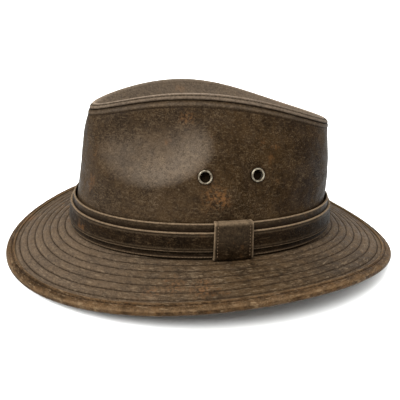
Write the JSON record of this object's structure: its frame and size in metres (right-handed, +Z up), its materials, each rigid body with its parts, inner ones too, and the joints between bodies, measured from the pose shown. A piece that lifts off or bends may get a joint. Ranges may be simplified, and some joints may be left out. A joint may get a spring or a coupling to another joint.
{
  "type": "traveller hat",
  "caption": "Leather hat with a pinched and centre-dented crown, a sloping bound brim, two hat bands held by a loop, and metal vent eyelets.",
  "frame": {"origin": "middle of the hat's length and width, on the surface that the brim rests on", "axes": "+Z up through the crown, +Y toward the back of the hat along its length, +X toward the wearer's left"},
  "size_m": [0.2786, 0.3078, 0.1234],
  "materials": {
    "crown_leather": "weathered dark brown cowhide, waxed and rubbed",
    "brim_leather": "weathered mid brown cowhide with stitched rows",
    "binding_leather": "rubbed tan brown leather strip",
    "band_leather": "dark brown strap leather with worn light edges",
    "eyelet_metal": "aged, dulled"
  },
  "bodies": {
    "root": {"crown_side": "crown_leather", "crown_tip": "crown_leather", "brim": "brim_leather", "brim_binding": "binding_leather", "under_band": "band_leather", "over_band": "band_leather", "band_loop": "band_leather", "eyelet_left_front": "eyelet_metal", "eyelet_left_back": "eyelet_metal", "eyelet_right_front": "eyelet_metal", "eyelet_right_back": "eyelet_metal"}
  },
  "joints": []
}
